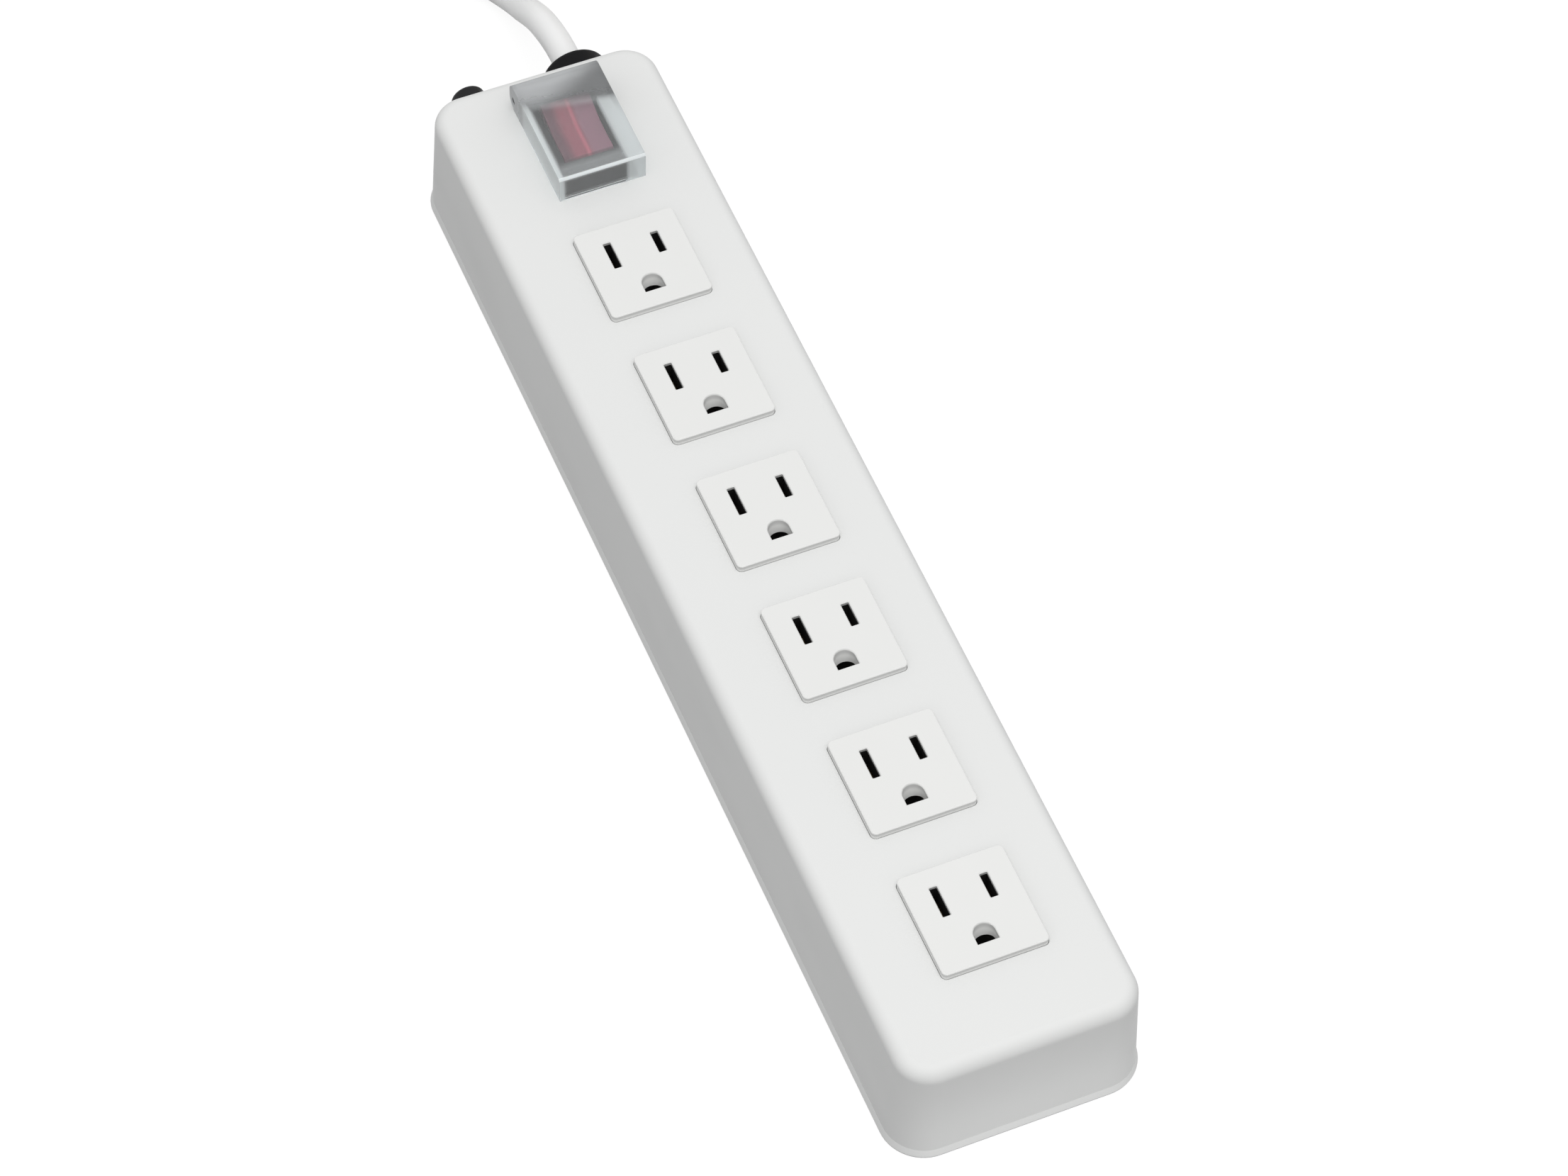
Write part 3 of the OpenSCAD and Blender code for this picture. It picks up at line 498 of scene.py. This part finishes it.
def flare(form, top, wide, middle):
    """Raises a hole's top face past the surface, and widens it there to the hole's rim."""
    raised = points_of(bmesh.ops.extrude_face_region(form, geom=top)["geom"])
    bmesh.ops.delete(form, geom=top, context="FACES_ONLY")
    bmesh.ops.scale(form, vec=(*wide, 1), verts=raised,
                    space=Matrix.Translation((-middle[0], -middle[1], 0)))
    bmesh.ops.translate(form, verts=raised, vec=(0, 0, 2 * RIM))


def slot_tool(length, width, middle, depth, grow=0.0):
    """A blade slot's shape, flared at its rim."""
    form = rounded_slab(length + 2 * grow, width + 2 * grow, FACE_Z - depth, FACE_Z - RIM,
                        0.25 * MM, 3, middle)
    top = [f for f in form.faces if all(level(FACE_Z - RIM)(v.co) for v in f.verts)]
    flare(form, top, ((length + 4 * RIM) / length, (width + 4 * RIM) / width), middle)
    return form


def earth_tool(x, y, depth, grow=0.0, taper=(1.0, 1.0)):
    """The earth hole's shape: an arch towards the slots with a straight foot, narrower below."""
    form = bmesh.new()
    bmesh.ops.create_circle(form, cap_ends=True, segments=48, radius=EARTH_R + grow)
    cut_through(form, (0, 0, 0), (-1, 0, 0))
    foot = [e for e in form.edges if all(abs(v.co.x) < 1e-7 for v in e.verts)]
    drawn = points_of(bmesh.ops.extrude_edge_only(form, edges=foot)["geom"])
    bmesh.ops.translate(form, verts=drawn, vec=(-EARTH_FLAT - grow, 0, 0))
    bmesh.ops.dissolve_edges(form, edges=foot, use_verts=False)
    bmesh.ops.translate(form, verts=form.verts, vec=(x, y, FACE_Z - depth))
    low = form.verts[:]
    top = points_of(bmesh.ops.extrude_face_region(form, geom=form.faces[:])["geom"])
    bmesh.ops.translate(form, verts=top, vec=(0, 0, depth - RIM))
    bmesh.ops.scale(form, vec=(*taper, 1), verts=low,
                    space=Matrix.Translation((EARTH_FLAT - x, -y, 0)))
    cap = [f for f in form.faces if all(v in top for v in f.verts)]
    wide = (EARTH_R + 2 * RIM) / EARTH_R
    flare(form, cap, (wide, wide), (x, y))
    return form


def collar_tool(x, margin, depth, corner):
    """The room that an outlet face's collar takes round its earth hole."""
    return rounded_slab(2 * EARTH_R + margin, 2 * EARTH_R + margin - 0.6 * MM, FACE_Z - depth, FACE_Z,
                        corner, 4, (x + COLLAR_SHIFT, ROW_Y))


nylon = Finish("white_nylon", IOR=1.45, Specular_IOR_Level=0.25)
nylon_fine = nylon.noise(0.5 * MM, 3)
clean_nylon = nylon.blend(nylon.noise(20 * MM, 3), (0.822, 0.824, 0.812), (0.842, 0.843, 0.832))
# Painted shade: a grey band from 0.2 to 1.9 mm below the face's top darkens the upper walls of the slots
# and earth holes, and the face's sides, just under their rims.
below_face = FACE_Z - nylon.axis("Z")
rim_shade_starts = nylon.between(below_face, 0.2 * MM, 0.45 * MM)
rim_shade_ends = 1 - nylon.between(below_face, 0.7 * MM, 1.9 * MM)
painted_rim_shade = rim_shade_starts * rim_shade_ends
nylon.set("Base Color", nylon.blend(painted_rim_shade * 0.65, clean_nylon, (0.42, 0.42, 0.415)))
nylon.set("Roughness", nylon.between(nylon_fine, 0.3, 0.7, 0.28, 0.4))
nylon.relief(nylon_fine, 0.014 * MM, 0.4)

# The core's black is partly its own colour and partly painted shade deep inside the slots.
core_black = Finish("socket_black", IOR=1.45)
core_grain = core_black.noise(0.8 * MM, 3)
core_black.set("Base Color", core_black.blend(core_grain, (0.012, 0.012, 0.013), (0.03, 0.029, 0.028)))
core_black.set("Roughness", core_black.between(core_grain, 0.2, 0.8, 0.55, 0.75))
core_black.relief(core_grain, 0.02 * MM, 0.4)

for number, x in enumerate(OUTLET_X, 1):
    face_x = x + FACE_SHIFT
    neutral, live = (x, ROW_Y + BLADE_GAP / 2), (x, ROW_Y - BLADE_GAP / 2)
    earth_x = x - EARTH_GAP
    cap = rounded_slab(FACE_L, FACE_W, TOP_Z - 5 * MM, FACE_Z, FACE_CORNER, 8, (face_x, ROW_Y))
    round_over(cap, level(FACE_Z), FACE_EDGE, 4)
    under = rounded_slab(FACE_L - 3 * MM, FACE_W - 3 * MM, TOP_Z - 6 * MM, FACE_Z - FACE_T,
                         1.2 * MM, 4, (face_x, ROW_Y))
    under = carve(under, collar_tool(earth_x, 3 * MM, COLLAR, 1.2 * MM))
    cap = carve(cap, under, slot_tool(NEUTRAL_L, SLOT_W, neutral, 3 * MM),
                slot_tool(LIVE_L, SLOT_W, live, 3 * MM),
                earth_tool(earth_x, ROW_Y, 8 * MM, taper=EARTH_TAPER))
    finished(f"outlet_face_{number}", cap, nylon, "strip", [f"outlet_{number}"])
    core = rounded_slab(FACE_L - 3.4 * MM, FACE_W - 3.4 * MM, CORE_Z, FACE_Z - FACE_T - 0.1 * MM,
                        MM, 3, (face_x, ROW_Y))
    core = carve(core, collar_tool(earth_x, 3.4 * MM, COLLAR + 0.2 * MM, 1.3 * MM),
                 slot_tool(NEUTRAL_L, SLOT_W, neutral, 16 * MM, 0.25 * MM),
                 slot_tool(LIVE_L, SLOT_W, live, 16 * MM, 0.25 * MM),
                 earth_tool(earth_x, ROW_Y, 16 * MM, 0.3 * MM))
    finished(f"outlet_core_{number}", core, core_black, "strip")

brass = Finish("spring_brass", Metallic=1.0)
tarnish = brass.noise(2.5 * MM, 4)
brass.set("Base Color", brass.blend(tarnish, (0.58, 0.41, 0.17), (0.8, 0.62, 0.3)))
brass.set("Roughness", brass.between(tarnish, 0.3, 0.7, 0.22, 0.42))
brass.relief(brass.noise(0.4 * MM, 3), 0.008 * MM, 0.4)
dress(brass, "live_bus", "neutral_bus", "earth_bus", "switch_terminals", "switch_arm")
dress(core_black, "contact_tray")


# Switch. A black snap-in body holds a red rocker on two trunnions, lying off, tipped towards the
# outlets; a black frame around it carries the hinge ears of the clear cover.
PIVOT = Vector((134.6, -1.7, 35)) * MM
ROCKER_HALF, ROCKER_W = 9.8 * MM, 13.6 * MM
ROCKER_LOW, ROCKER_HIGH = -1.5 * MM, 2.8 * MM
THROW = 16
TRUNNION_R, TRUNNION_L, TRUNNION_Y = 1.2 * MM, 1.6 * MM, 7.3 * MM

satin_black = Finish("satin_black", IOR=1.5, Specular_IOR_Level=0.2)
black_grain = satin_black.noise(0.45 * MM, 3)
satin_black.set("Base Color", satin_black.blend(
    satin_black.noise(7 * MM, 3), (0.006, 0.006, 0.007), (0.013, 0.013, 0.014)))
satin_black.set("Roughness", satin_black.between(black_grain, 0.3, 0.7, 0.3, 0.46))
satin_black.relief(black_grain, 0.015 * MM, 0.5)


def broken_edges(piece, width, segments):
    """Breaks a piece's sharp edges, and shades its flat faces evenly."""
    edge = piece.modifiers.new("broken_edges", "BEVEL")
    edge.width, edge.segments, edge.limit_method, edge.angle_limit = width, segments, "ANGLE", radians(40)
    piece.modifiers.new("even_shading", "WEIGHTED_NORMAL").keep_sharp = True


def softened(name, finish, body, node, width=0.25 * MM):
    """A copy of one of the frame's nodes with its edges broken, as a moulding has them."""
    form = bmesh.new()
    form.from_mesh(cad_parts[node].data)
    bmesh.ops.remove_doubles(form, verts=form.verts, dist=1e-6)
    bmesh.ops.dissolve_limit(form, angle_limit=radians(1), verts=form.verts, edges=form.edges)
    piece = finished(name, form, finish, body, [node], weighted=False)
    broken_edges(piece, width, 2)
    return piece


softened("switch_case", satin_black, "strip", "switch_body")
softened("hinge_frame", satin_black, "strip", "cover_frame", 0.3 * MM)

tip = radians(THROW / 2)
lever = bmesh.new()
bmesh.ops.create_circle(lever, cap_ends=True, segments=96, radius=ROCKER_HALF,
                        matrix=Matrix.Rotation(radians(90), 4, "X"))
cut_through(lever, (0, 0, 0), (-1, 0, 0))
cut_through(lever, (0, 0, ROCKER_LOW), (0, 0, -1))
cut_through(lever, (0, 0, ROCKER_HIGH / cos(tip)), (-sin(tip), 0, cos(tip)))
bmesh.ops.mirror(lever, geom=whole(lever), matrix=Matrix.Identity(4), merge_dist=1e-6, axis="X")
bmesh.ops.remove_doubles(lever, verts=lever.verts, dist=1e-6)
bmesh.ops.translate(lever, verts=lever.verts, vec=(0, -ROCKER_W / 2, 0))
side_face = points_of(bmesh.ops.extrude_face_region(lever, geom=lever.faces[:])["geom"])
bmesh.ops.translate(lever, verts=side_face, vec=(0, ROCKER_W, 0))
bmesh.ops.recalc_face_normals(lever, faces=lever.faces)
bmesh.ops.dissolve_limit(lever, angle_limit=radians(0.5), verts=lever.verts, edges=lever.edges)
bmesh.ops.transform(lever, verts=lever.verts,
                    matrix=Matrix.Translation(PIVOT) @ Matrix.Rotation(-tip, 4, "Y"))

rocker_red = Finish("rocker_red", IOR=1.49, Specular_IOR_Level=0.25)
rocker_y = rocker_red.axis("Y")
# Painted light on the rocker: a bright painted highlight line along its middle, a painted reflection that
# lightens and greys the half towards -Y, and painted shade that darkens the half towards +Y.
from_middle = rocker_red.math("ABSOLUTE", rocker_y + 1.9 * MM)
painted_highlight_line = 1 - rocker_red.between(from_middle, 0.1 * MM, 0.8 * MM)
painted_reflection_half = 1 - rocker_red.between(rocker_y, -3.4 * MM, -2.2 * MM)
painted_shade_half = rocker_red.between(rocker_y, 0.5 * MM, 4 * MM)
tint = rocker_red.blend(rocker_red.noise(3 * MM, 3), (0.2, 0.04, 0.065), (0.27, 0.055, 0.085))
tint = rocker_red.blend(painted_reflection_half * 0.8, tint, (0.21, 0.1, 0.14))
tint = rocker_red.blend(painted_shade_half * 0.85, tint, (0.06, 0.018, 0.032))
rocker_red.set("Base Color", rocker_red.blend(painted_highlight_line * 0.5, tint, (0.55, 0.12, 0.17)))
rocker_red.set("Roughness", rocker_red.between(rocker_red.noise(0.6 * MM, 3), 0.3, 0.7, 0.22, 0.34))
rocker_red.relief(rocker_red.noise(0.6 * MM, 2), 0.01 * MM, 0.4)
rocker = finished("rocker", lever, rocker_red, "rocker", ["switch_rocker"],
                  weighted=False)
broken_edges(rocker, 0.5 * MM, 3)

trunnions = bmesh.new()
for side in (-1, 1):
    place = Matrix.Translation(PIVOT + Vector((0, side * TRUNNION_Y, 0)))
    bmesh.ops.create_cone(trunnions, cap_ends=True, segments=32, radius1=TRUNNION_R,
                          radius2=TRUNNION_R, depth=TRUNNION_L,
                          matrix=place @ Matrix.Rotation(radians(90), 4, "X"))
finished("rocker_trunnions", trunnions, rocker_red, "rocker")

clear_lamp = Finish("lamp_glass", IOR=1.47, Roughness=0.08)
clear_lamp.set("Base Color", clear_lamp.blend(
    clear_lamp.noise(1.5 * MM, 2), (0.85, 0.42, 0.25), (0.95, 0.62, 0.42)))
ivory = Finish("plunger_nylon", Roughness=0.45)
ivory.set("Base Color", ivory.blend(ivory.noise(1.5 * MM, 2), (0.74, 0.72, 0.66), (0.82, 0.8, 0.75)))
dress(clear_lamp, "switch_lamp")
dress(ivory, "switch_plunger")


# Clear cover. A polycarbonate box with walls 1.3 mm thick, open below and behind, clips to a
# steel pin through the frame's ears and flips back over the cord end. Its hinge end, its sides
# and the roof behind its front edge are frosted, the hinge end in a grey that is darker towards
# the rocker; a white frosted strip along its top front edge is a painted highlight.
ROOF_UNDER, ROOF_OVER = 41.9 * MM, 42.4 * MM
FRONT_OUT, FRONT_IN = 116.4 * MM, 116.8 * MM
SIDE_IN, SIDE_OUT = 8 * MM, 9.4 * MM

clear = Finish("clear_polycarbonate", IOR=1.47, Transmission_Weight=0.96)
haze = clear.noise(2.2 * MM, 4)
clear.set("Base Color", clear.blend(haze, (0.93, 0.96, 0.97), (0.97, 0.985, 0.99)))
along, across, height = (clear.axis(name) for name in "XYZ")
roof = clear.between(height, ROOF_UNDER, ROOF_OVER)
skin = clear.math("MAXIMUM", roof, 1 - clear.between(along, FRONT_OUT, FRONT_IN))
sides = clear.between(clear.math("ABSOLUTE", across), SIDE_IN, SIDE_OUT)
side_bands = sides * clear.math("MAXIMUM", skin, 0.9)
hinge_end = clear.between(along - across * 0.2, 137.5 * MM, 145 * MM)
# Painted highlight: a white frosted strip along the rounded top front edge.
painted_edge_highlight = 1 - clear.between(along - height, 72.85 * MM, 73.05 * MM)
front_band = (1 - clear.between(along, 118 * MM, 121.5 * MM)) * roof
frost_and_edge_highlight = side_bands * 0.42
for share in (hinge_end * 0.7, painted_edge_highlight, front_band * 0.22):
    frost_and_edge_highlight = clear.math("MAXIMUM", frost_and_edge_highlight, share)
clear.set("Roughness", clear.between(haze, 0.3, 0.75, 0.03, 0.07) + frost_and_edge_highlight * 0.4)
slanted = clear.between(along + across * 0.6, 138 * MM, 148 * MM)
grey = clear.blend(slanted, (0.22, 0.225, 0.23), (0.5, 0.51, 0.52))
milk_and_highlight_colour = clear.blend(clear.between(hinge_end, 0, 0.5), (0.8, 0.84, 0.85), grey)
milk = clear.node("ShaderNodeBsdfPrincipled", None, {
    "Base Color": milk_and_highlight_colour, "Roughness": 0.5, "Specular IOR Level": 0.2})
glass = Field(clear, clear.shader.outputs[0])
veiled = clear.node("ShaderNodeMixShader", None, {0: frost_and_edge_highlight, 1: glass, 2: milk})
shadow_ray = clear.node("ShaderNodeLightPath", output="Is Shadow Ray")
pass_light = clear.node("ShaderNodeBsdfTransparent", None, {"Color": (0.9, 0.92, 0.92, 1)})
both = clear.node("ShaderNodeMixShader", None, {0: shadow_ray, 1: veiled, 2: pass_light})
clear.feed(clear.tree.nodes["Material Output"].inputs["Surface"], both)
softened("flip_cover", clear, "cover", "switch_cover", 0.45 * MM)


# Breaker. A push-to-reset breaker is held in the end wall by a round steel nut, and its black
# button stands out of the threaded neck.
def turned(points, axis_at, segments=48):
    """A body turned round an axis along +X through a point, from its (x, radius) outline."""
    form = bmesh.new()
    ring = [form.verts.new((x * MM, 0, r * MM)) for x, r in points]
    edges = [form.edges.new(pair) for pair in zip(ring, ring[1:])]
    bmesh.ops.spin(form, geom=ring + edges, cent=(0, 0, 0), axis=(1, 0, 0), angle=2 * pi,
                   steps=segments, use_merge=True)
    bmesh.ops.remove_doubles(form, verts=form.verts, dist=1e-6)
    bmesh.ops.recalc_face_normals(form, faces=form.faces)
    bmesh.ops.translate(form, verts=form.verts, vec=axis_at)
    return form


def arc(x, radius, bend):
    """Points of an outline's outer corner, rounded from the side to the end."""
    return [(x + bend * sin(radians(a)), radius + bend * cos(radians(a))) for a in range(0, 91, 15)]


button = turned([(160.6, 0), (160.6, 4.6), (161, 4.7), *arc(170.1, 3.5, 1.2), (171, 2.6),
                 (170.8, 1.2), (170.75, 0)], (0, BREAKER_Y, PORT_Z))
finished("reset_cap", button, satin_black, "reset", ["reset_button"], crease=50)
dress(satin_black, "breaker_body", "cover_pin")


# Cord bushing. A turned black rubber bushing grips the lead in the end wall, with a rounded head
# outside and a collar inside that keeps it from pulling out.
bushing = turned([(149, 4.1), (149, 6.5), (157, 8.7), (157.3, 8.7), (157.4, 7.9), (161.2, 7.9),
                  (161.2, 9.2), (162.4, 9.2), *arc(167.6, 7.2, 1.8), (169.3, 5.4),
                  (168.9, 4.6), (168.2, 4.1), (149, 4.1)], (0, CORD_Y, PORT_Z), 64)
rubber = Finish("bushing_rubber", IOR=1.35, Specular_IOR_Level=0.15)
rubber_grain = rubber.noise(0.6 * MM, 4)
rubber.set("Base Color", rubber.blend(rubber_grain, (0.004, 0.004, 0.005), (0.011, 0.011, 0.012)))
rubber.set("Roughness", rubber.between(rubber_grain, 0.25, 0.75, 0.42, 0.62))
rubber.relief(rubber_grain, 0.02 * MM, 0.5)
finished("lead_bushing", bushing, rubber, "strip", ["cord_bushing"], crease=40)
dress(jacket, "cord_inner")


# Coil tie and plug. A black strap holds the coil's turns together, and the lead ends in a moulded
# white plug with a ribbed strain relief, two brass blades and a round earth pin.
STRAP_L, STRAP_H, STRAP_W, STRAP_T = 25.1 * MM, 24.1 * MM, 12 * MM, 0.7 * MM
STRAP_AT = Vector(((COIL_OUT + COIL_IN) / 2, 0, 12.8 * MM))
PLUG_W, PLUG_CORNER = 26 * MM, 7 * MM
PLUG_FRONT, PLUG_BACK = PLUG.x - 42 * MM, PLUG.x - 24 * MM
GRIP_R, GRIP_HALF, GRIP_PITCH = 0.75 * MM, 7 * MM, 3.2 * MM

strap = rounded_slab(STRAP_L, STRAP_H, -STRAP_W / 2, STRAP_W / 2, 4 * MM, 8)
ends = [f for f in strap.faces if abs(f.normal.z) > 0.9]
bmesh.ops.delete(strap, geom=ends, context="FACES_ONLY")
bmesh.ops.solidify(strap, geom=strap.faces, thickness=-STRAP_T)
bmesh.ops.recalc_face_normals(strap, faces=strap.faces)
on_edge = Matrix.Rotation(radians(90), 4, "X")
round_coil = Matrix.Translation(COIL_MIDDLE) @ Matrix.Rotation(radians(TIE_ANGLE), 4, "Z")
bmesh.ops.transform(strap, verts=strap.verts,
                    matrix=round_coil @ Matrix.Translation(STRAP_AT) @ on_edge)
webbing = Finish("strap_black", Roughness=0.7)
rib = webbing.node("ShaderNodeTexWave", {"wave_type": "BANDS", "bands_direction": "Y"},
                   {"Vector": webbing.place, "Scale": 260.0, "Distortion": 0.6}, "Fac")
webbing.set("Base Color", webbing.blend(rib, (0.012, 0.012, 0.013), (0.04, 0.04, 0.042)))
webbing.relief(rib, 0.12 * MM, 0.6)
tie = finished("coil_strap", strap, webbing, "strip", ["cord_tie"])

block = block_form(PLUG_BACK - PLUG_FRONT, PLUG_W, PLUG.z - PLUG_W / 2, PLUG.z + PLUG_W / 2,
                   ((PLUG_FRONT + PLUG_BACK) / 2, PLUG.y))
long_edges = [e for e in block.edges if abs(e.verts[0].co.x - e.verts[1].co.x) > MM]
rounded(block, long_edges, PLUG_CORNER, 8)
round_over(block, lambda point: abs(point.x - PLUG_FRONT) < 1e-6, 1.2 * MM, 4)
round_over(block, lambda point: abs(point.x - PLUG_BACK) < 1e-6, 3.2 * MM, 6)
grips = []
for side in (-1, 1):
    y = PLUG.y + side * (PLUG_W / 2 + 0.15 * MM)
    for i in range(4):
        x = PLUG_FRONT + 4.5 * MM + i * GRIP_PITCH
        grips.append(rod(GRIP_R, (x, y, PLUG.z - GRIP_HALF), (x, y, PLUG.z + GRIP_HALF), 16))
block = carve(block, *grips)
plug_pvc = Finish("plug_pvc", IOR=1.5)
pvc_grain = plug_pvc.noise(0.6 * MM, 3)
plug_pvc.set("Base Color", plug_pvc.blend(
    plug_pvc.noise(9 * MM, 3), (0.78, 0.79, 0.785), (0.84, 0.845, 0.84)))
plug_pvc.set("Roughness", plug_pvc.between(pvc_grain, 0.3, 0.7, 0.36, 0.5))
plug_pvc.relief(pvc_grain, 0.02 * MM, 0.45)
plug = finished("plug_moulding", block, plug_pvc, "strip", ["plug_body"])

relief_outline = [(-24.5, 0), (-24.5, 11), (-23.4, 11), (-22, 9.8), (-20, 7.6)]
for i in range(4):
    x, r = 4.2 * i - 18.8, 7 - 0.5 * i
    relief_outline += [(x, r), (x + 0.5, r + 0.25), (x + 2.3, r + 0.1), (x + 2.8, r - 0.4),
                       (x + 3.1, r - 0.9)]
relief_outline += [(-1.4, 5.1), (0, 4.8), (0, 4.05), (-8, 4.05)]
relief = turned(relief_outline, PLUG)
sleeve = finished("plug_relief", relief, plug_pvc, "strip", crease=50)

prongs = softened("plug_prongs", brass, "strip", "plug_blades", 0.35 * MM)
dress(brass, "plug_earth_pin")


# Inner wiring. Black, white and green insulated cores run from the lead through breaker and
# switch to the brass strips; they show only when the base plate is off.
for name, dark, light, nodes in (
        ("core_black_wire", (0.015, 0.015, 0.016), (0.035, 0.035, 0.036),
         ["wire_live_in", "wire_live_link", "wire_live_out"]),
        ("core_white_wire", (0.76, 0.76, 0.75), (0.84, 0.84, 0.83), ["wire_neutral", "wire_lamp"]),
        ("core_green_wire", (0.02, 0.26, 0.07), (0.04, 0.38, 0.11), ["wire_earth"])):
    insulation = Finish(name, Roughness=0.4)
    insulation.set("Base Color", insulation.blend(insulation.noise(4 * MM, 3), dark, light))
    dress(insulation, *nodes)

bpy.context.scene.view_settings.view_transform = "Standard"
